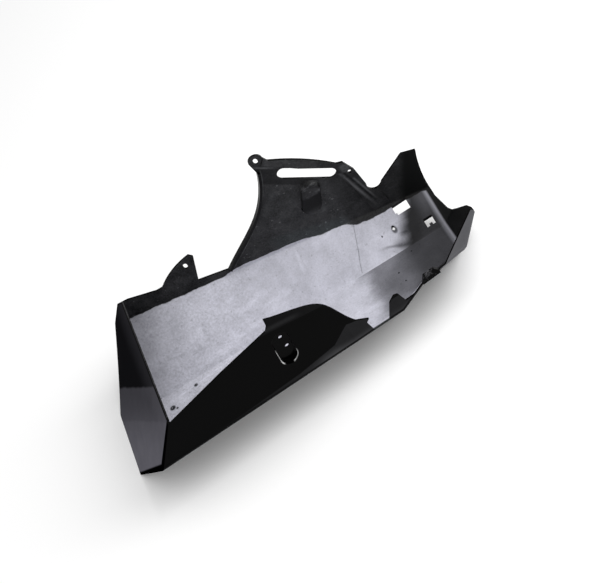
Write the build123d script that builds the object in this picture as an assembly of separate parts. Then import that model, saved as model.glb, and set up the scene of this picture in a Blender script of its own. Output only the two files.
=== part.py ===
import os
from math import cos, hypot, radians, sin, tan

from build123d import *

# Belly pan, one moulding: +X to the nose, +Y to the left wall, +Z up, flat bottom on z = 0.
# "back" is the distance behind the chin tip on an outline drawn at one length. It stretches with the length.
length = 610.0
chin_x = length / 2
wall = 3.0
sky = 320.0

# Hull: flat bottom, two bilge facets up to the chines, upright walls above them.
flat_half = 58.0
chine_half = 166.0
chine_taper = 0.116
chine_height = 99.0
chine_fall = 0.0895
left_height = 82.5
left_fall = 0.0575
chin_back = 70.0
chin_widen = 20.0
fold_radius = 7.0
nose_rake = 35.6

# Flare: the left wall leans out to the chine below a knee line, rows of (back, knee height over the chine).
flare_lean = 0.16
flare_rows = [(190.0, 6.0), (284.0, 9.5), (344.0, 18.0), (372.0, 38.0), (400.0, 30.0)]

# Rear of the hull: scoop on the left, then the bottom kicks up to the tail.
scoop_start = 450.0
scoop_full = 492.0
scoop_narrow = 7.0
scoop_flat = 24.0
scoop_chine = 75.5
kick_back = 567.0
kick_angle = 42.0
kick_radius = 24.0
kick_flat = 10.0
kick_chine = 82.0
tip_slope = 1.33

# Rim points are (back, z) in side view. Nose rim first, as (y, z) seen from the front.
nose_rim_left = (154.0, 142.0)
nose_rim_right = (-136.0, 137.0)
nose_corner = (-150.0, 124.0)

# Right wall: fin tab, low sill, swept bracket with two lugs and a bar, tail fin.
sill_end = (150.0, 113.0)
fin_foot = (160.0, 113.5)
fin_shoulder = (193.0, 136.0)
fin_top = (221.0, 145.0)
fin_heel = (226.0, 139.0)
fin_back = (211.0, 94.0)
fin_hole = (208.0, 129.0)
sill_low = (258.0, 86.0)
sweep = [(279.0, 103.5), (308.0, 126.0), (339.0, 155.0), (361.0, 188.0)]
sweep_top = (373.0, 219.0)
front_lug = (381.0, 237.0)
front_lug_radius = 11.0
bar_front = (396.0, 229.0)
bar_crown = (437.0, 203.0)
bar_rear = (477.0, 167.0)
rear_lug = (488.0, 144.0)
rear_lug_top = (486.0, 164.0)
rear_lug_back = (495.0, 143.0)
bracket_foot = (499.0, 109.0)
valley = (506.0, 93.5)
valley_rise = (520.0, 99.0)
fin_tail_front = (564.0, 128.0)
fin_tail_back = (585.0, 122.0)
fin_tail_waist = (577.8, 84.0)
fin_tail_foot = (577.0, 44.0)
bar_slot_middle = (434.0, 176.5)
bar_slot_size = (88.0, 18.0)
bar_slot_slope = 33.0
lip_width = 4.0
lip_depth = 6.0
pad_width = 13.0
pad_depth = 2.0
pad_foot = (502.0, 60.0)
screw_hole = 6.4
screw_slot = 10.0

# Left wall: long sill, notched hump, stand cut-out, small peak, lug, tail fin.
left_rise = (197.0, 160.5)
notch_low = (279.0, 174.0)
notch_step = (283.5, 180.0)
notch_tip = (285.0, 193.0)
hump = [(307.0, 183.0), (334.0, 172.0), (358.0, 156.0), (373.0, 126.0)]
hump_end = (387.0, 94.0)
spur_tip = (403.0, 84.0)
spur_root = (397.5, 80.5)
cut_front = (401.0, 65.0)
cut_rear = (426.0, 62.0)
peak_front = (438.0, 84.0)
peak_top = (448.0, 90.5)
peak_back = (454.0, 88.0)
rim_low = (459.0, 72.0)
rim_rise = (474.0, 71.5)
lug_foot = (491.0, 78.0)
lug_top = (497.0, 88.5)
lug_back = (514.0, 89.0)
lug_heel = (520.0, 81.0)
left_valley = (531.0, 81.0)
left_fin_top = (597.0, 135.0)
left_fin_tip = (601.0, 132.0)
bevel_low = (286.0, 168.0)
bevel_end = (360.0, 152.0)
bevel_depth = 2.2
clip_depth = 4.0
clip_drop = 4.0

# Teardrop screw pockets, one in each wall, sunk from outside.
pocket_left = (287.0, 129.0)
pocket_right = (420.0, 134.0)
pocket_size = (58.0, 27.0)
pocket_tilt_left = 4.0
pocket_tilt_right = 22.0
pocket_depth = 11.0
pocket_draft = 18.0
pocket_slope = 5.0
pocket_holes = [(290.5, 147.0), (291.5, 126.5)]

# Tail edge in plan as (back, y), and drain holes in the right bilge facet as (back, distance from its fold).
tail_edge = [(577.0, -130.0), (577.0, -84.0), (583.0, -63.0), (593.0, -47.0), (606.0, -28.0)]
tail_tip = (610.0, -14.0)
drawn_length = tail_tip[0]
tail_end_left = (601.0, 96.0)
tail_cut_top = 56.0
drain_rear = (550.0, 34.7)
drain_rear_size = (14.0, 9.0)
drain_front = (525.0, 10.6)
drain_front_size = (24.0, 11.0)
drain_notch = 2.5
drain_round = (499.0, 27.1)
drain_round_size = 5.0


def station(back):
    return chin_x - back * length / drawn_length


def chine_y(back):
    return chine_half - chine_taper * back


def chine_z(back):
    return chine_height - chine_fall * back


def lerp(a, b, share):
    return a + (b - a) * share


def stations():
    # rows of (back, left edge of the flat, bottom z, left chine z, knee height over the left chine)
    first = -wall * 4
    end = drawn_length + wall * 4
    low_knee, high_knee = flare_rows[0][1], flare_rows[-1][1]
    rows = []
    for back, knee in [(first, low_knee), (chin_back, low_knee), *flare_rows, (scoop_start, high_knee)]:
        share = (back - first) / (scoop_start - first)
        rows.append((back, flat_half - scoop_narrow * share, 0.0, left_height - left_fall * back, knee))
    rows.append((scoop_full, scoop_flat, 0.0, scoop_chine, low_knee))
    start = kick_back - kick_radius * tan(radians(kick_angle / 2))
    for share in (0, 1 / 3, 2 / 3, 1):
        angle = radians(kick_angle) * share
        back = start + kick_radius * sin(angle)
        rise = kick_radius * (1 - cos(angle))
        flat = lerp(kick_flat, tail_tip[1], (back - start) / (end - start))
        rows.append((back, flat, rise, kick_chine + max(0.0, back - kick_back) * tip_slope, low_knee))
    rise += (end - back) * tan(radians(kick_angle))
    rows.append((end, tail_tip[1], rise, kick_chine + (end - kick_back) * tip_slope, low_knee))
    return rows


def section(row, inset):
    back, flat_left, bottom, left_z, knee = row
    half, right_z = chine_y(back), max(chine_z(back), bottom + wall * 4)
    out = knee * flare_lean
    up = out * (left_z - bottom) / (half - flat_left)
    flat_right = flat_half + chin_widen * max(0.0, 1 - back / chin_back)
    pts = [(-half, sky), (-half, right_z), (-flat_right, bottom), (flat_left, bottom)]
    pts += [(half + out, left_z + up), (half, left_z + knee), (half, sky)]
    lines = []
    for (y0, z0), (y1, z1) in zip(pts, pts[1:]):
        span = hypot(y1 - y0, z1 - z0)
        ny, nz = (z0 - z1) / span, (y1 - y0) / span
        lines.append((ny, nz, ny * y0 + nz * z0 + inset))
    moved = [(lines[0][2] / lines[0][0], sky + inset)]
    for (a, b, c), (d, e, f) in zip(lines, lines[1:]):
        det = a * e - b * d
        moved.append(((c * e - b * f) / det, (a * f - c * d) / det))
    moved.append((lines[-1][2] / lines[-1][0], sky + inset))
    plane = Plane(origin=(station(back), 0, 0), x_dir=(0, 1, 0), z_dir=(1, 0, 0))
    face = Polygon(*moved, align=None)
    corners = face.vertices()
    folds = [min(corners, key=lambda v: hypot(v.X - y, v.Y - z)) for y, z in moved[1:5]]
    return plane * fillet(folds, max(fold_radius - inset, wall))


def hull(inset):
    body = loft([section(row, inset) for row in stations()], ruled=True)
    rake = radians(nose_rake)
    shift = chin_x - inset / cos(rake)
    front = Plane(origin=(shift, 0, 0), x_dir=(0, 1, 0), z_dir=(cos(rake), 0, sin(rake)))
    return split(body, bisect_by=front, keep=Keep.BOTTOM)


def at(point):
    return Vector(station(point[0]), point[1])


def chain(*points):
    return [Line(at(a), at(b)) for a, b in zip(points, points[1:])]


def above(rim, side):
    # everything over a rim line, on one side of the pan
    start, stop = rim[0] @ 0, rim[-1] @ 1
    low_stop = Vector(-length, stop.Y)
    top_stop = Vector(-length, sky * 2)
    top_start = Vector(start.X, sky * 2)
    close = Polyline(stop, low_stop, top_stop, top_start, start)
    face = Plane.XZ * make_face(Curve() + rim + close)
    return extrude(face, amount=length, dir=(0, side, 0))


def on_wall(side, point):
    # plane on the outer face of a wall, local x toward the tail (left) or the nose (right), local y up
    back, z = point
    lean = chine_taper * drawn_length / length
    origin = (station(back), side * chine_y(back), z)
    return Plane(origin=origin, x_dir=(-side, -lean, 0), z_dir=(-lean, side, 0))


def along(edges, width, depth, start):
    # band of one width beside a rim line of the right wall, between two depths from its outer face
    band = extrude(Plane.XZ * trace(edges, line_width=width * 2), amount=length, dir=(0, -1, 0))
    face = on_wall(-1, sill_low).offset(-start) * Rectangle(length * 2, length * 2)
    return band & extrude(face, amount=-depth) & outer


def screw_cut(side, point, size, tall=0.0):
    plane = on_wall(side, point)
    shape = SlotCenterToCenter(tall, size, rotation=90) if tall else Circle(size / 2)
    return extrude(plane * shape, amount=wall * 8, both=True)


def pocket(side, point, lean):
    # screw recess that deepens toward its lower end: returns the added cup and the cut
    plane = on_wall(side, point)
    tilt = 90 - side * lean
    floor = plane.offset(-pocket_depth / 2).rotated((-pocket_slope, 0, 0))
    long, wide = pocket_size
    inner = plane * SlotOverall(long, wide, rotation=tilt)
    outer = plane * SlotOverall(long + 2 * wall, wide + 2 * wall, rotation=tilt)
    recess = split(extrude(inner, amount=-2 * pocket_depth, taper=pocket_draft), bisect_by=floor)
    under = floor.offset(-wall)
    cup = split(extrude(outer, amount=-2 * pocket_depth, taper=pocket_draft), bisect_by=under)
    return cup - extrude(outer, amount=-wall / 2), recess + extrude(inner, amount=wall)


def bevel():
    # wedge over the front of the hump: the cut starts at a line on the outer face and reaches
    # its full depth at the tip
    low, end = (on_wall(1, point).origin for point in (bevel_low, bevel_end))
    tip = on_wall(1, notch_tip)
    inside = tip.origin - tip.z_dir * bevel_depth
    run = (end - low).normalized()
    plane = Plane(origin=low, x_dir=run, z_dir=run.cross(inside - low))
    reach = 2 * (hump_end[0] - notch_low[0])
    return extrude(plane * Rectangle(reach, reach), amount=reach)


def plan(points):
    return make_face(Polyline(*[(station(back), y) for back, y in points], close=True))


def drain(point, outline):
    # hole through the right bilge facet, placed by its distance from the fold line
    back, inset = point
    return extrude(Pos(station(back), inset - chine_y(back)) * outline, amount=sky, both=True)


def stepped(size, shift):
    # square hole with a small step in its inner side
    return Rectangle(*size) - Pos(shift, size[1] / 2) * Rectangle(drain_notch * 2, drain_notch * 2)


nose_end = (nose_rim_left[1] * tan(radians(nose_rake)) + wall * 1.5) * drawn_length / length
right_rim = chain((nose_end, nose_corner[1]), sill_end, fin_foot)
right_rim += [ThreePointArc(at(fin_foot), at(fin_shoulder), at(fin_top))]
right_rim += chain(fin_top, fin_heel, fin_back, sill_low)
sweep_edge = Spline(*[at(p) for p in (sill_low, *sweep, sweep_top)])
lug_side = (front_lug[0] - front_lug_radius, front_lug[1])
lug_crown = (front_lug[0], front_lug[1] + front_lug_radius)
lug_tail = (front_lug[0] + front_lug_radius, front_lug[1])
right_rim += [sweep_edge] + chain(sweep_top, lug_side)
right_rim += [ThreePointArc(at(lug_side), at(lug_crown), at(lug_tail))]
right_rim += chain(lug_tail, bar_front)
right_rim += [ThreePointArc(at(bar_front), at(bar_crown), at(bar_rear))]
right_rim += chain(bar_rear, rear_lug_top, rear_lug_back, bracket_foot)
right_rim += [ThreePointArc(at(bracket_foot), at(valley), at(valley_rise))]
right_rim += chain(valley_rise, fin_tail_front, fin_tail_back)
right_rim += [ThreePointArc(at(fin_tail_back), at(fin_tail_waist), at(fin_tail_foot))]

left_rim = chain((nose_end, nose_rim_left[1]), left_rise, notch_low, notch_step, notch_tip)
hump_edge = Spline(*[at(p) for p in (notch_tip, *hump, hump_end)])
left_rim += [hump_edge] + chain(hump_end, spur_tip, spur_root, cut_front, cut_rear, peak_front)
left_rim += chain(peak_front, peak_top, peak_back, rim_low, rim_rise, lug_foot, lug_top, lug_back)
left_rim += chain(lug_back, lug_heel, left_valley, left_fin_top, left_fin_tip)

outer = hull(0.0)
pan = outer - hull(wall)

# stiffening: rolled lip along the sweep, thicker pad behind the bar and down the bracket
pan += along(sweep_edge, lip_width, lip_depth + wall / 2, wall / 2)
pad_edges = Curve() + chain(lug_tail, bar_rear, rear_lug_top, pad_foot)
pan += along(pad_edges, pad_width, pad_depth + wall / 2, wall / 2)
cup_left, recess_left = pocket(1, pocket_left, pocket_tilt_left)
cup_right, recess_right = pocket(-1, pocket_right, pocket_tilt_right)
pan += cup_left
pan += cup_right
pan -= recess_left
pan -= recess_right

# thicker clip lug near the tail
clip_low = [(back, z - clip_drop) for back, z in (lug_heel, lug_foot)]
clip_face = Plane.XZ * make_face(Curve() + chain(lug_foot, lug_top, lug_back, lug_heel, *clip_low, lug_foot))
clip_start = chine_y(lug_back[0]) - wall / 2
pan += extrude(Pos(0, clip_start, 0) * clip_face, amount=clip_depth, dir=(0, 1, 0))

# rims
pan -= above(right_rim, -1)
pan -= above(left_rim, 1)
pan -= bevel()
front_outline = Polyline(
    (-length, nose_corner[1]), nose_corner, nose_rim_right, nose_rim_left,
    (length, nose_rim_left[1]), (length, length), (-length, length), close=True)
front_plane = Plane(origin=(station(nose_end), 0, 0), x_dir=(0, 1, 0), z_dir=(1, 0, 0))
pan -= extrude(front_plane * make_face(front_outline), amount=length, dir=(1, 0, 0))

# tail edge, cut in plan: the whole edge low down, only the left part up to the fin
far = drawn_length * 2
left_end = [tail_tip, tail_end_left, (tail_end_left[0], length), (far, length)]
pan -= extrude(plan([(tail_edge[0][0], -length), *tail_edge, *left_end, (far, -length)]),
               amount=tail_cut_top, both=True)
pan -= extrude(plan([tail_edge[-1], *left_end, (far, tail_edge[-1][1])]), amount=sky, dir=(0, 0, 1))

# openings
bar_slot = on_wall(-1, bar_slot_middle) * SlotOverall(*bar_slot_size, rotation=bar_slot_slope)
pan -= extrude(bar_slot, amount=wall * 8, both=True)
pan -= screw_cut(-1, fin_hole, screw_hole, screw_slot - screw_hole)
pan -= screw_cut(-1, front_lug, screw_hole, screw_slot - screw_hole)
pan -= screw_cut(-1, rear_lug, screw_hole)
for hole in pocket_holes:
    pan -= screw_cut(1, hole, screw_hole)
pan -= drain(drain_rear, stepped(drain_rear_size, 0.0))
pan -= drain(drain_front, stepped(drain_front_size, drain_front_size[0] / 2))
pan -= drain(drain_round, Circle(drain_round_size / 2))

os.makedirs("parts", exist_ok=True)
export_step(pan, "parts/belly_pan.step")
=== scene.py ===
import math

import bpy
from mathutils import Matrix, Vector


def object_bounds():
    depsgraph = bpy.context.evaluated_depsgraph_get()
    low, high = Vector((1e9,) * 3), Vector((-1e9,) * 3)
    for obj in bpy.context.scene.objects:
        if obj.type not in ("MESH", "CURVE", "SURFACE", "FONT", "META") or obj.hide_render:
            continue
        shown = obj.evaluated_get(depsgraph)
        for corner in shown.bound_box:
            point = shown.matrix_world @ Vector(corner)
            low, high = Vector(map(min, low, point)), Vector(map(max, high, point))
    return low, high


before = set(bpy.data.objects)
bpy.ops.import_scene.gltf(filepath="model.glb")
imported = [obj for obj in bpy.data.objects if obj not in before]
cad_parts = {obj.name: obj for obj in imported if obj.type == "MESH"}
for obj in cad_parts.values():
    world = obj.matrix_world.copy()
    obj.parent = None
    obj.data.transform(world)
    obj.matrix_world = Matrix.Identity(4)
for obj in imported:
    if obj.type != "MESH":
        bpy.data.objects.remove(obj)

cadLow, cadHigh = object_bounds()
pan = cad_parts["belly_pan"]
print("frame loaded", [round(v, 4) for v in (*cadLow, *cadHigh)])


# one value in a shader: sums and products of these add Math nodes
class Value:
    def __init__(self, tree, socket):
        self.tree = tree
        self.socket = socket

    def node(self, kind, settings=None, inputs=None, out=0):
        made = self.tree.nodes.new(kind)
        for key, value in (settings or {}).items():
            setattr(made, key, value)
        for key, value in (inputs or {}).items():
            if isinstance(value, Value):
                self.tree.links.new(value.socket, made.inputs[key])
            else:
                made.inputs[key].default_value = value
        return Value(self.tree, made.outputs[out])

    def math(self, operation, *others):
        return self.node("ShaderNodeMath", {"operation": operation}, dict(enumerate((self, *others))))

    def __add__(self, other):
        return self.math("ADD", other)

    def __sub__(self, other):
        return self.math("SUBTRACT", other)

    def __mul__(self, other):
        return self.math("MULTIPLY", other)

    def __truediv__(self, other):
        return self.math("DIVIDE", other)

    def __neg__(self):
        return self.math("MULTIPLY", -1.0)

    def __radd__(self, other):
        return self.math("ADD", other)

    def __rmul__(self, other):
        return self.math("MULTIPLY", other)

    def __rsub__(self, other):
        return (-self).math("ADD", other)

    def least(self, other):
        return self.math("MINIMUM", other)

    def most(self, other):
        return self.math("MAXIMUM", other)

    def size(self):
        return self.math("ABSOLUTE")

    # straight distance, with the other value measured square to this one
    def distance(self, other):
        return (self * self + other * other).math("SQRT")

    # a noise value from 0 to 1 made to swing about 0
    def sway(self, reach):
        return (self - 0.5) * reach

    # 0 below low, 1 above high, smooth between
    def rise(self, low, high):
        limits = {"Value": self, "From Min": low, "From Max": high}
        return self.node("ShaderNodeMapRange", {"interpolation_type": "SMOOTHSTEP"}, limits)

    # 1 below low, 0 above high, smooth between
    def fall(self, low, high):
        return 1 - self.rise(low, high)

    # 1 between low and high, soft over the given width to each side of both
    def band(self, low, high, soft):
        return self.rise(low - soft, low + soft) * self.fall(high - soft, high + soft)

    # first where this value is 0, second where it is 1
    def mix(self, first, second):
        return (1 - self) * first + self * second

    # loses a share of itself where the mask is 1
    def darken(self, mask, share):
        return self * (1 - mask * share)

    def mixColor(self, first, second):
        colors = {"Factor": self, 6: first, 7: second}
        return self.node("ShaderNodeMix", {"data_type": "RGBA"}, colors, out=2)


def grey(value):
    return (value, value, value, 1.0)


# an empty material, and its output socket as the value that other nodes start from
def newMaterial(name):
    material = bpy.data.materials.new(name)
    material.use_nodes = True
    tree = material.node_tree
    tree.nodes.clear()
    output = tree.nodes.new("ShaderNodeOutputMaterial")
    return material, Value(tree, output.inputs["Surface"])


# what the looks know of the moulded shape, in metres; "back" is measured from the chin tip
# a pair is where something starts and ends, and a band's third number is its softness
# a noise is scale, detail, roughness and, where it is drawn out, its stretch
form = {
    "foldHalf": 0.166, "foldTaper": 0.116,  # half width at the fold of wall and floor, its loss per metre
    "foldHeight": 0.099, "foldFall": 0.0895,  # height of that fold, its loss per metre
    "noseRake": math.radians(35.6), "noseSkin": (0.00105, 0.00165),
    "upFacing": (0.25, 0.35), "left": (0.08, 0.1), "right": (0.0, 0.01),
    "mottle": (42.0, 6.0, 0.65), "cloud": (13.0, 3.0, 0.5), "grain": (420.0, 3.0, 0.6),
}


# what every part of the shell's look reads: place, facing, sides and shared noise
class Surface:
    def __init__(self, start, s):
        self.start = start
        self.place = start.node("ShaderNodeTexCoord", out=3)
        facing = start.node("ShaderNodeNewGeometry", out=1)
        x, self.y, self.z = (self.part(self.place, i) for i in range(3))
        self.nx, self.ny, self.nz = (self.part(facing, i) for i in range(3))
        self.back = cadHigh.x - x
        self.mottle = self.noise(*s["mottle"])
        self.cloud = self.noise(*s["cloud"])
        self.grain = self.noise(*s["grain"])
        self.foldY = s["foldHalf"] - s["foldTaper"] * self.back
        self.foldZ = s["foldHeight"] - s["foldFall"] * self.back
        self.onLeft = self.y.rise(*s["left"])
        self.onRight = (-self.y).rise(*s["right"])
        self.facesUp = self.nz.rise(*s["upFacing"])
        noseDepth = self.back * math.cos(s["noseRake"]) - self.z * math.sin(s["noseRake"])
        self.behindNose = noseDepth.rise(*s["noseSkin"])

    def part(self, vector, index):
        return self.start.node("ShaderNodeSeparateXYZ", None, {0: vector}, out=index)

    def noise(self, scale, detail, rough, stretch=(1, 1, 1)):
        turned = self.start.node("ShaderNodeMapping", None, {"Vector": self.place, "Scale": stretch})
        settings = {"Vector": turned, "Scale": scale, "Detail": detail, "Roughness": rough}
        return self.start.node("ShaderNodeTexNoise", None, settings)

    def tinted(self, level, red, green, blue):
        channels = {0: level * red, 1: level * green, 2: level * blue}
        return self.start.node("ShaderNodeCombineColor", None, channels)

    # round spot on the floor, solid over half its reach
    def spot(self, back, y, reach):
        return (self.back - back).distance(self.y - y).fall(reach * 0.5, reach)

    # height over a line through (back, z) that drops by so much per metre back
    def above(self, back, z, drop):
        return self.z - z + (self.back - back) * drop

    # length behind a line through (back, z) that leans back by so much per metre up
    def behind(self, back, z, lean):
        return self.back - back - (self.z - z) * lean


# pale film on the floor inside: greyer in the nose by painted shade, dark behind a wrinkled border, with
# painted shade on the flat's rear and a painted highlight along the kick
film = {
    # front is the film's level at the nose, darkened there by painted shade
    "pale": 0.57, "front": 0.30, "dark": 0.043, "tint": (0.98, 0.98, 1.10),
    # upper edge: ragged, with a hump over the right fold and steps of (start, end, height)
    "edgeNoise": (60.0, 3.0, 0.55), "edgeWander": 0.005, "edgeOver": 0.001, "edgeSoft": 0.0012,
    "edgeSteps": [(0.434, 0.458, -0.0064), (0.47, 0.56, 0.0045)],
    "hump": (0.26, 0.385, 0.022), "humpHeight": 0.0066,
    "humpWall": (0.24, 0.405, 0.005), "humpFacing": (0.3, 0.6),
    "rearEnd": (0.567, 0.571),
    # the border lies at a slant on the sloped sides, from slantFrom out, and straight on the flat
    "flatFacing": (0.93, 0.985), "wrinkle": (24.0, 3.0, 0.5, (1, 1.6, 1)),
    "slantFrom": 0.062, "slant": 0.80, "slantWave": 0.034,
    "slantBorder": (0.484, 0.513), "flatBorder": (0.466, 0.515), "flatWave": 0.012,
    "slopeDark": 0.40, "wedge": (0.500, 0.530, 0.010), "wedgeDark": 0.25,
    "beforeBorder": (0.478, 0.503), "beforeDark": 0.30,
    # painted shade: the flat floor darker toward the rear, where less light falls on it
    "flatShade": (0.404, 0.444), "flatShadeDark": 0.67, "shadeWave": 0.035,
    "frontY": -0.1, "frontLean": 0.9, "noseShadeFade": (0.045, 0.17),
    "flatFront": (0.2, 0.3), "flatFrontGain": 0.1,
    # painted highlight along the kick and into its corner
    "kick": (0.559, 0.572), "kickHighlight": 0.36,
    "kickCorner": (0.535, 0.56), "kickCornerY": (0.065, 0.095), "kickCornerShare": 0.14,
}

# unevenness of the film
filmGrain = {
    "base": 0.96, "mottle": 0.6, "grain": 0.40, "cloud": 0.30,
    "streak": (26.0, 4.0, 0.6, (0.35, 1.5, 1)), "streakCut": (0.56, 0.72), "streakGain": 0.16,
    "pebble": (280.0, 2.0, 0.5), "pebbleGain": 0.6, "pebbleFade": (0.2, 0.32), "pebbleLoss": 0.7,
    "patch": (0.42, 0.45), "patchMiddle": 0.55, "patchGain": 0.55,
}

# single marks in the film
filmMarks = {
    # creases in the film: a fall in tone is painted shade in the fold, a rise is a painted highlight on
    # it
    # back, y, slope, half length, half width, change of tone
    "creases": [
        (0.489, -0.0640, 0.21, 0.018, 0.0011, -0.62),
        (0.500, -0.0628, 0.16, 0.012, 0.0027, -0.70),
        (0.5108, -0.0714, 0.16, 0.005, 0.0008, -0.55),
        (0.1665, -0.097, -0.31, 0.013, 0.0012, 0.22),
        (0.1345, -0.0847, 0.20, 0.04, 0.0008, -0.14),
        (0.147, -0.0455, -0.10, 0.058, 0.0010, 0.16),
        (0.355, -0.1075, -2.5, 0.004, 0.0014, 0.20),
    ],
    "creaseWave": 0.008, "creaseSoft": 2.0, "creaseEnds": 0.6,
    # back, y, reach
    "pits": [
        (0.0811, -0.0262, 0.0062), (0.0875, -0.021, 0.0026), (0.1265, -0.043, 0.0042),
        (0.4711, -0.0185, 0.0020), (0.474, 0.0039, 0.0017),
        (0.4783, -0.0795, 0.0015), (0.5039, -0.0451, 0.0016),
    ],
    "pitGrain": (0.30, 0.42), "pitDark": 0.95,
    # painted shade in the dent at the drain hole
    "dent": (0.4995, -0.079, 0.0055), "dentShade": 0.8,
    "seamBack": 0.4237, "seamY": -0.058, "seamSlope": 0.584, "seamEnd": 0.001,
    "seamHalf": 0.0006, "seamWave": 0.006, "seamDark": 0.45,
    "speck": (190.0, 2.0, 0.5), "speckCut": (0.66, 0.72), "speckDark": 0.22,
}

# height of the film's relief by what makes it
filmRelief = {"grain": 0.25, "mottle": 0.5, "wrinkle": 2.0, "wrinkleBand": (0.05, 0.6, 0.05)}


# where the film lies
def filmMask(f, s):
    edge = f.foldZ + f.noise(*s["edgeNoise"]).sway(s["edgeWander"]) + s["edgeOver"]
    for low, high, height in s["edgeSteps"]:
        edge = edge + f.back.rise(low, high) * height
    edge = edge + f.back.band(*s["hump"]) * s["humpHeight"]
    underEdge = (edge - f.z).rise(0.0, s["edgeSoft"])
    onHump = f.onRight * f.ny.rise(*s["humpFacing"]) * f.back.band(*s["humpWall"])
    return f.facesUp.most(onHump) * f.behindNose * underEdge * f.back.fall(*s["rearEnd"])


def filmTone(f, s):
    streak = f.noise(*s["streak"]).rise(*s["streakCut"])
    pebble = f.noise(*s["pebble"]).sway(s["pebbleGain"])
    pebble = pebble.darken(f.back.rise(*s["pebbleFade"]), s["pebbleLoss"])
    patch = f.back.rise(*s["patch"]) * (f.cloud - s["patchMiddle"])
    even = f.mottle.sway(s["mottle"]) + f.grain.sway(s["grain"]) + f.cloud.sway(s["cloud"]) + s["base"]
    return even + pebble + streak * s["streakGain"] + patch * s["patchGain"]


def filmSeam(f, s):
    aside = f.y - s["seamY"]
    line = f.back - s["seamBack"] + aside * s["seamSlope"] + f.mottle.sway(s["seamWave"])
    return line.band(-s["seamHalf"], s["seamHalf"], s["seamHalf"]) * aside.fall(-s["seamEnd"], 0.0)


# creases with painted shade and highlights, pits, painted shade in the dent, and specks, laid over the
# film's level
def markFilm(f, s, level, wrinkle):
    # painted shade and highlights along the creases
    for back, y, slope, half, width, change in s["creases"]:
        line = (f.y - y) - (f.back - back) * slope + wrinkle.sway(s["creaseWave"])
        across = (line / math.hypot(1, slope)).band(-width, width, width * s["creaseSoft"])
        along = f.back.band(back - half, back + half, half * s["creaseEnds"])
        level = level * (across * along * change + 1.0)
    pits = f.spot(*s["pits"][0])
    for pit in s["pits"][1:]:
        pits = pits.most(f.spot(*pit))
    level = level.darken(pits * f.grain.rise(*s["pitGrain"]), s["pitDark"])
    # painted shade in the dent
    level = level.darken(f.spot(*s["dent"]), s["dentShade"])
    return level.darken(f.noise(*s["speck"]).rise(*s["speckCut"]), s["speckDark"])


def filmHeight(f, s, wrinkle, rear, seam):
    wrinkled = wrinkle * rear.band(*s["wrinkleBand"]) * s["wrinkle"]
    return f.grain * s["grain"] + f.mottle * s["mottle"] + wrinkled - seam


# returns where the film lies, its colour and its relief
def filmLook(f, s):
    mask = filmMask(f, s)
    onFlat = f.nz.rise(*s["flatFacing"])
    wrinkle = f.noise(*s["wrinkle"])
    slanted = f.back - (f.y.size() - s["slantFrom"]) * s["slant"] + wrinkle.sway(s["slantWave"])
    straight = f.back + wrinkle.sway(s["flatWave"])
    rear = onFlat.mix(slanted.rise(*s["slantBorder"]), straight.rise(*s["flatBorder"]))
    slopeDark = slanted.band(*s["wedge"]) * s["wedgeDark"] + s["slopeDark"]
    dark = s["dark"] * (1 - (1 - onFlat) * slopeDark)

    # painted shade: the film greyer toward the nose
    fromNose = f.back + (f.y - s["frontY"]) * s["frontLean"]
    pale = fromNose.rise(*s["noseShadeFade"]).mix(s["front"], s["pale"])
    pale = pale * (onFlat * f.back.fall(*s["flatFront"]) * s["flatFrontGain"] + 1.0)
    pale = pale.darken(slanted.rise(*s["beforeBorder"]), s["beforeDark"])
    # painted shade on the flat floor toward the rear
    shaded = (f.back + wrinkle.sway(s["shadeWave"])).rise(*s["flatShade"])
    pale = pale.darken(onFlat * shaded, s["flatShadeDark"])

    seam = filmSeam(f, filmMarks)
    level = rear.mix(pale, dark) * filmTone(f, filmGrain)
    level = markFilm(f, filmMarks, level, wrinkle).darken(seam, filmMarks["seamDark"])
    # painted highlight along the kick and into its corner
    corner = f.back.rise(*s["kickCorner"]) * (-f.y).rise(*s["kickCornerY"]) * s["kickCornerShare"]
    level = f.back.rise(*s["kick"]).most(corner).mix(level, s["kickHighlight"])
    height = filmHeight(f, filmRelief, wrinkle, rear, seam)
    return mask, f.tinted(level, *s["tint"]), height * mask


# inside of the walls: satin and scuffed, darker toward the nose, black at the tail, with painted shade on
# faces turned down
walls = {
    "level": 0.033, "tailLevel": 0.003, "tint": (0.98, 0.99, 1.04),
    "base": 0.91, "cloud": 1.3, "mottle": 2.2, "grain": 1.8,
    "scuff": (85.0, 5.0, 0.7, (0.5, 1, 1)), "scuffCut": (0.56, 0.66), "scuffGain": 0.45,
    "nick": (230.0, 2.0, 0.5, (0.6, 1, 1)), "nickCut": (0.66, 0.72),
    "nickPatch": (0.45, 0.55), "nickGain": 1.8,
    # bluish strip low on the walls, under a line of (back, z, drop), lighter on the right
    "stripLine": (0.3437, 0.1018, 0.24), "stripFade": (-0.012, 0.004),
    "strip": (0.335, 0.448, 0.012), "stripGain": 0.3, "stripTint": (-0.08, 0.02, 0.02),
    # start, end and loss of each step toward the nose
    "noseSteps": [(0.295, 0.325, 0.26), (0.22, 0.25, 0.24), (0.06, 0.14, 0.1)],
    # painted shade on faces turned down
    "downFacing": (0.1, 0.5), "downShade": 0.6,
    # black behind a line of (back, z, lean)
    "tailLine": (0.541, 0.068, 0.43), "tailFade": (-0.010, 0.006),
}
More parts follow.
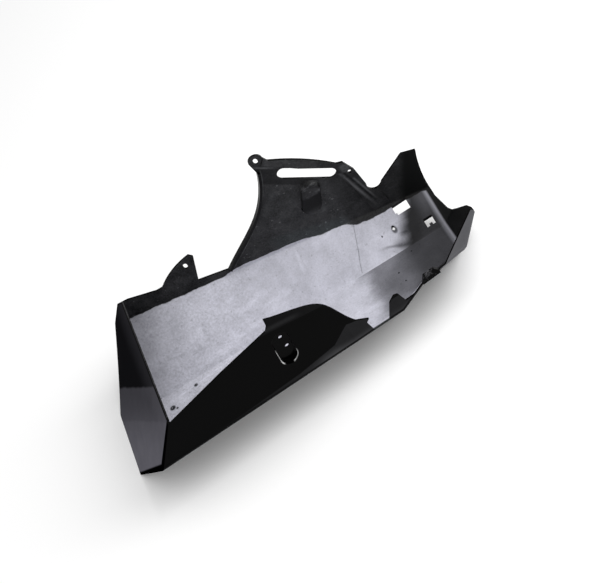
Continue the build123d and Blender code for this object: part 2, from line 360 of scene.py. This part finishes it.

# rear bracket on the right wall: painted shade under its bar, a rolled lip with painted shade and a
# painted highlight, ridges with painted highlights, a boss with painted shade below, and a lug
bracket = {
    # shaded between two lines of (back, z, drop), and again behind the boss
    "shadeFrom": (0.3695, 0.1947, 0.736), "shadeSoft": (0.0, 0.005), "shadeEnd": (0.43, 0.45),
    "shadeTo": (0.434, 0.1765, 0.649), "shadeTop": (0.008, 0.011), "shadeDark": 0.62,
    "behindBoss": (0.445, 0.459), "behindBossShare": 0.6,
    # the lip follows the bowed front edge of the bracket, down from its top; it carries painted shade,
    # and the glint inside it is a painted highlight
    "sweepBack": 0.373, "sweepZ": 0.219, "sweepLean": 0.242, "sweepBow": 4.68,
    "sweepDown": (-0.006, 0.006), "sweepEnd": (0.255, 0.262),
    "lip": (0.004, 0.0055), "lipShade": 0.88,
    "glint": (0.0052, 0.0066, 0.0008), "glintMottle": (0.3, 0.6), "glintGain": 1.8,
    # the lighter lines are painted highlights on the ridges, the darker one is painted shade beside them
    # back, z at the top, lean, z at the foot, half width, change of tone
    "ridges": [
        (0.474, 0.1462, 0.281, 0.060, 0.0020, 2.0),
        (0.488, 0.1285, 0.266, 0.070, 0.0014, 1.7),
        (0.3773, 0.2258, 1.449, 0.211, 0.0012, 1.6),
        (0.4795, 0.1462, 0.281, 0.060, 0.0014, -0.5),
    ],
    "ridgeFade": 0.5, "ridgeTop": 0.004,
    "bossProud": (0.0055, 0.0075), "boss": (0.395, 0.445, 0.004), "bossTop": (0.138, 0.144),
    "bossWave": 0.02, "bossShade": 0.93, "bossTopDark": 0.3, "bossScuff": 1.2,
    "lugBack": 0.482, "lugZ": 0.153, "lug": (0.005, 0.011), "lugMottle": (0.35, 0.6), "lugGain": 1.6,
}


# distance behind the bracket's bowed front edge, square to it, and where that edge runs
def sweepReach(f, s):
    down = s["sweepZ"] - f.z
    slope = down * (2 * s["sweepBow"]) + s["sweepLean"]
    behind = f.back - s["sweepBack"] + down * s["sweepLean"] + down * down * s["sweepBow"]
    along = f.onRight * down.rise(*s["sweepDown"]) * f.back.rise(*s["sweepEnd"])
    return behind / (slope * slope + 1).math("SQRT"), along


# the bracket's own marks, painted shade and highlights among them, laid over the wall's level
def markBracket(f, s, level, scuff):
    underBar = f.above(*s["shadeFrom"]).rise(*s["shadeSoft"]) * f.back.fall(*s["shadeEnd"])
    underBar = underBar * f.above(*s["shadeTo"]).fall(*s["shadeTop"])
    shade = underBar.most(f.back.rise(*s["behindBoss"]) * s["behindBossShare"])
    level = level.darken(shade * f.onRight, s["shadeDark"])

    # painted shade on the lip and a painted highlight inside it
    reach, along = sweepReach(f, s)
    level = level.darken(reach.fall(*s["lip"]) * along, s["lipShade"])
    glint = reach.band(*s["glint"]) * along * f.mottle.rise(*s["glintMottle"])
    level = level + glint * s["glintGain"]
    # painted highlights and shade along the ridges
    for back, top, lean, foot, half, change in s["ridges"]:
        across = (f.behind(back, top, -lean) / math.hypot(1, lean)).band(-half, half, half)
        span = f.z.rise(foot, foot + (top - foot) * s["ridgeFade"]) * f.z.fall(top, top + s["ridgeTop"])
        level = level + across * span * f.onRight * change

    # the boss is scuffed above, with painted shade below
    boss = (f.foldY + f.y).rise(*s["bossProud"]) * f.onRight * f.back.band(*s["boss"])
    above = (f.z + f.mottle.sway(s["bossWave"])).rise(*s["bossTop"])
    level = level.darken(boss * (1 - above), s["bossShade"]).darken(boss * above, s["bossTopDark"])
    level = level + boss * above * scuff * s["bossScuff"]
    lug = (f.back - s["lugBack"]).distance(f.z - s["lugZ"]).fall(*s["lug"])
    return level + lug * f.onRight * f.mottle.rise(*s["lugMottle"]) * s["lugGain"]


def wallLook(f, s):
    scuff = f.noise(*s["scuff"]).rise(*s["scuffCut"])
    nicks = f.noise(*s["nick"]).rise(*s["nickCut"]) * f.cloud.rise(*s["nickPatch"])
    strip = f.above(*s["stripLine"]).fall(*s["stripFade"]) * f.back.band(*s["strip"])
    level = f.cloud.sway(s["cloud"]) + f.mottle.sway(s["mottle"]) + f.grain.sway(s["grain"]) + s["base"]
    level = level + scuff * s["scuffGain"] + nicks * s["nickGain"] + strip * f.onRight * s["stripGain"]
    for low, high, loss in s["noseSteps"]:
        level = level - f.back.fall(low, high) * loss
    # painted shade on faces turned down
    level = level.darken((-f.nz).rise(*s["downFacing"]), s["downShade"])
    level = markBracket(f, bracket, level, scuff)
    inTail = f.behind(*s["tailLine"]).rise(*s["tailFade"])
    level = inTail.mix(level * s["level"], s["tailLevel"])
    return f.tinted(level, *(strip * change + tint for tint, change in zip(s["tint"], s["stripTint"])))


# outside: near black, with a painted sheen where the left wall leans out, a painted reflection on a facet
# at the tail and painted glints on the clip
outside = {
    "gloss": 0.0006, "tint": (0.98, 0.98, 1.05), "mottle": 0.5,
    # lean is a painted sheen where the left wall leans out, dimmed on the hump
    "lean": 0.013, "leanFacing": (0.06, 0.3, 0.03), "leanFade": (0.1, 0.35),
    "hump": (0.135, 0.145), "humpDark": 0.68,
    # painted highlight: a pale streak on the hump, over a line of (back, z, drop)
    "streakLine": (0.286, 0.168, 0.216), "streak": (0.003, 0.009, 0.0025),
    "streakEnd": (0.312, 0.335), "streakGain": 0.8,
    # painted reflection on the left tail facet
    "tailReflection": 0.10, "tail": (0.518, 0.532), "tailFacing": (0.2, 0.4), "tailY": (0.0, 0.01),
    # painted highlights in specks on the rough clip
    "clip": (0.488, 0.522, 0.003), "clipZ": (0.074, 0.078), "clipGlints": 0.075,
    "clipNoise": (110.0, 5.0, 0.7), "clipCut": (0.5, 0.7),
    # the painted sheen is stronger along the lower edge of the left wall, over a line of (back, z, drop)
    "edgeGrey": 0.036, "edgeLine": (0.0, 0.0825, 0.0575), "edgeFade": (0.003, 0.017),
    "edgeStart": (0.285, 0.345), "edgeLoss": (0.36, 0.42), "edgeLossShare": 0.6,
}

# painted highlight on the lip at both sides of the left pocket's lower end
pocket = {
    "back": 0.2859, "z": 0.1135, "lean": 0.071, "ring": (0.0123, 0.0134, 0.0005),
    "frontAside": (0.009, 0.0115), "frontZ": (0.107, 0.134, 0.004),
    "rearAside": (0.001, 0.004), "rearZ": (0.112, 0.119),
    "sunk": (-0.0005, 0.0022, 0.0005), "lip": 0.85, "glintGrey": 0.75,
}


def pocketGlint(f, s):
    aside = f.behind(s["back"], s["z"], s["lean"])
    ring = aside.distance((f.z - s["z"]).least(0.0)).band(*s["ring"])
    frontArc = (-aside).rise(*s["frontAside"]) * f.z.band(*s["frontZ"])
    rearArc = aside.rise(*s["rearAside"]) * f.z.fall(*s["rearZ"])
    return ring * frontArc.most(rearArc) * (f.foldY - f.y).band(*s["sunk"]) * f.onLeft


def outsideLook(f, s):
    leanSheen = f.nz.band(*s["leanFacing"]) * f.onLeft * f.back.rise(*s["leanFade"])
    # painted highlight streak on the hump
    streak = f.above(*s["streakLine"]).band(*s["streak"]) * f.back.fall(*s["streakEnd"])
    leanSheen = leanSheen.darken(f.z.rise(*s["hump"]), s["humpDark"]) + leanSheen * streak * s["streakGain"]
    edgeSheen = f.above(*s["edgeLine"]).fall(*s["edgeFade"]) * f.back.rise(*s["edgeStart"])
    edgeSheen = edgeSheen.darken(f.back.rise(*s["edgeLoss"]), s["edgeLossShare"])
    reflectingFacet = f.back.rise(*s["tail"]) * f.ny.rise(*s["tailFacing"]) * f.y.rise(*s["tailY"])
    level = leanSheen * (edgeSheen * s["edgeGrey"] + s["lean"]) + reflectingFacet * s["tailReflection"] + s["gloss"]
    level = level * (f.mottle.sway(s["mottle"]) + 1.0)
    # painted highlights in specks on the clip
    clip = f.back.band(*s["clip"]) * f.z.rise(*s["clipZ"]) * f.onLeft
    level = level + clip * f.noise(*s["clipNoise"]).rise(*s["clipCut"]) * s["clipGlints"]
    # painted highlight on the pocket's lip
    lip = pocketGlint(f, pocket) * pocket["lip"]
    return lip.mixColor(f.tinted(level, *s["tint"]), grey(pocket["glintGrey"]))


# nose face: a painted reflection, dark toward the right wall and greyer toward the chin, and a rounded
# dark left edge
nose = {
    "dark": 0.006, "grey": 0.052, "tip": 0.115, "top": 0.014, "tint": (0.99, 0.965, 1.13),
    "slant": 0.66, "wave": 0.006, "waveNoise": (25.0, 2.0, 0.55), "mottle": 0.3,
    "reflectionFrom": (-0.0965, -0.092), "tipFrom": (-0.09, 0.02), "topZ": (0.1, 0.14),
    "step": (-0.046, -0.041), "stepGain": 0.014,
    # the left edge: an upright stretch at y, then one that slopes from (y, z)
    "edgeY": 0.1455, "slopeY": 0.1444, "slopeZ": 0.0787, "slopeAcross": 0.646, "slopeUp": 0.763,
    "edgeSoft": (-0.001, 0.0015), "edgeDark": 0.0006,
}


def noseReflection(f, s):
    # painted reflection across the nose face, with a step and lighter tip and top
    across = f.y * s["slant"] - f.z + f.noise(*s["waveNoise"]).sway(s["wave"])
    level = across.rise(*s["reflectionFrom"]).mix(s["dark"], s["grey"])
    level = level + across.rise(*s["tipFrom"]) * (s["tip"] - s["grey"]) + f.z.rise(*s["topZ"]) * s["top"]
    level = level + across.rise(*s["step"]) * s["stepGain"]
    sloped = (f.y - s["slopeY"]) * s["slopeAcross"] - (f.z - s["slopeZ"]) * s["slopeUp"]
    level = level * (f.y - s["edgeY"]).most(sloped).fall(*s["edgeSoft"]) + s["edgeDark"]
    return f.tinted(level * (f.mottle.sway(s["mottle"]) + 1.0), *s["tint"])


# which faces are inside: those turned inward, the back of the nose and the floor short of the rims
sides = {
    "noseFacing": (0.5, 0.7), "inward": (0.3, 0.6),
    "rim": (0.0095, 0.0105), "leftRim": (0.0125, 0.0135), "rimOver": (0.005, 0.007),
    "boss": (0.392, 0.448, 0.002), "bossTop": (0.170, 0.172),
    "noseBackFacing": (0.4, 0.6), "noseBackDepth": (0.003, 0.004), "noseBackEnd": (0.15, 0.2),
}


def insideMask(f, s):
    inward = (-(f.y.math("SIGN") * f.ny)).rise(*s["inward"])
    depth = f.foldY - f.y.size()
    onBoss = f.back.band(*s["boss"]) * f.z.fall(*s["bossTop"]) * f.onRight
    atRim = depth.fall(*s["rim"]).most(depth.fall(*s["leftRim"]) * f.onLeft) * (1 - onBoss)
    atRim = atRim * (f.z - f.foldZ).rise(*s["rimOver"])
    noseBack = (-f.nx).rise(*s["noseBackFacing"]) * depth.rise(*s["noseBackDepth"])
    noseBack = noseBack * f.back.fall(*s["noseBackEnd"])
    return inward.most(noseBack).most(f.facesUp * f.behindNose * (1 - atRim))


# moulded shell: gloss black outside, matte nose with a painted reflection, satin black walls and pale
# film inside
shell = {
    "edgeRadius": 0.0009, "edgeSamples": 6, "reliefStrength": 0.2, "reliefHeight": 0.0008,
    "satin": 0.46, "satinShine": 0.2, "filmRough": 0.2, "filmSmooth": 0.06,
    "gloss": 0.14, "glossGrain": 0.06, "glossShine": 0.035,
    "matte": 0.5, "matteShine": 0.0,
}


def shellMaterial(s):
    material, start = newMaterial("shellPlastic")
    f = Surface(start, form)
    filmHere, filmColor, relief = filmLook(f, film)
    edge = start.node("ShaderNodeBevel", {"samples": s["edgeSamples"]}, {"Radius": s["edgeRadius"]})
    bump = start.node("ShaderNodeBump", None, {
        "Strength": s["reliefStrength"], "Distance": s["reliefHeight"], "Height": relief, "Normal": edge})
    satin = start.node("ShaderNodeBsdfPrincipled", None, {
        "Base Color": filmHere.mixColor(wallLook(f, walls), filmColor),
        "Roughness": filmHere * (f.mottle * s["filmRough"] - s["filmSmooth"]) + s["satin"],
        "Normal": bump, "Specular IOR Level": s["satinShine"]})
    gloss = start.node("ShaderNodeBsdfPrincipled", None, {
        "Base Color": outsideLook(f, outside), "Roughness": f.grain * s["glossGrain"] + s["gloss"],
        "Normal": edge, "Specular IOR Level": s["glossShine"]})
    matte = start.node("ShaderNodeBsdfPrincipled", None, {
        "Base Color": noseReflection(f, nose), "Roughness": s["matte"],
        "Normal": edge, "Specular IOR Level": s["matteShine"]})
    onNose = f.nx.rise(*sides["noseFacing"]) * (1 - f.behindNose)
    outer = start.node("ShaderNodeMixShader", None, {0: onNose, 1: gloss, 2: matte})
    surface = start.node("ShaderNodeMixShader", None, {0: insideMask(f, sides), 1: outer, 2: satin})
    start.tree.links.new(surface.socket, start.socket)
    return material


pan.data.materials.clear()
pan.data.materials.append(shellMaterial(shell))
print("shell material on", pan.name)


# floor: pale sheet under the pan, not part of the object, brightened a little where it is seen
sheet = {"half": 6.0, "drop": 0.0003, "albedo": 0.9, "lift": 0.1}


def floorMaterial(s):
    material, start = newMaterial("paleFloor")
    path = start.node("ShaderNodeLightPath").socket.node
    camera, glossy, through = (
        Value(start.tree, path.outputs[name])
        for name in ("Is Camera Ray", "Is Glossy Ray", "Is Transmission Ray"))
    seen = camera.most(glossy).most(through)
    diffuse = start.node("ShaderNodeBsdfDiffuse", None, {"Color": grey(s["albedo"])})
    glow = start.node("ShaderNodeEmission", None, {"Color": grey(1.0), "Strength": seen * s["lift"]})
    both = start.node("ShaderNodeAddShader", None, {0: diffuse, 1: glow})
    start.tree.links.new(both.socket, start.socket)
    return material


def makeFloor(s):
    h = s["half"]
    z = -s["drop"]
    mesh = bpy.data.meshes.new("floor")
    mesh.from_pydata([(-h, -h, z), (h, -h, z), (h, h, z), (-h, h, z)], [], [(0, 1, 2, 3)])
    mesh.materials.append(floorMaterial(s))
    floor = bpy.data.objects.new("floor", mesh)
    bpy.context.scene.collection.objects.link(floor)


makeFloor(sheet)
print("floor laid")

# soft studio light: white surroundings and one large lamp high behind the tail
studio = {"world": 0.72, "keySize": 2.0, "keyPower": 42.0, "keyPlace": (-1.6, 0.25, 1.55)}


def lightStudio(s):
    world = bpy.data.worlds.new("studio")
    world.use_nodes = True
    shade = world.node_tree.nodes["Background"]
    shade.inputs["Color"].default_value = grey(1.0)
    shade.inputs["Strength"].default_value = s["world"]
    bpy.context.scene.world = world
    lamp = bpy.data.lights.new("key", "AREA")
    lamp.shape = "DISK"
    lamp.size = s["keySize"]
    lamp.energy = s["keyPower"]
    key = bpy.data.objects.new("key", lamp)
    key.location = s["keyPlace"]
    key.rotation_euler = (-Vector(s["keyPlace"])).to_track_quat("-Z", "Y").to_euler()
    bpy.context.scene.collection.objects.link(key)


lightStudio(studio)

# camera: high on the left, rolled as the picture is; focal and pictureWidth are in pixels
shot = {
    "target": (-0.0315, -0.0021, 0.0857), "place": (-0.1565, 1.6701, 1.5098),
    "roll": 34.49, "focal": 1540.0, "pictureWidth": 600.0, "sensor": 36.0,
}


def placeCamera(s):
    data = bpy.data.cameras.new("camera")
    data.sensor_width = s["sensor"]
    data.lens = s["focal"] / s["pictureWidth"] * s["sensor"]
    camera = bpy.data.objects.new("camera", data)
    back = (Vector(s["place"]) - Vector(s["target"])).normalized()
    level = Vector((0, 0, 1)).cross(back).normalized()
    upright = back.cross(level)
    roll = math.radians(s["roll"])
    right = level * math.cos(roll) - upright * math.sin(roll)
    up = level * math.sin(roll) + upright * math.cos(roll)
    turn = Matrix((right, up, back)).transposed().to_4x4()
    camera.matrix_world = Matrix.Translation(s["place"]) @ turn
    bpy.context.scene.collection.objects.link(camera)
    bpy.context.scene.camera = camera


placeCamera(shot)
bpy.context.scene.view_settings.view_transform = "Standard"
print("lights and camera placed")
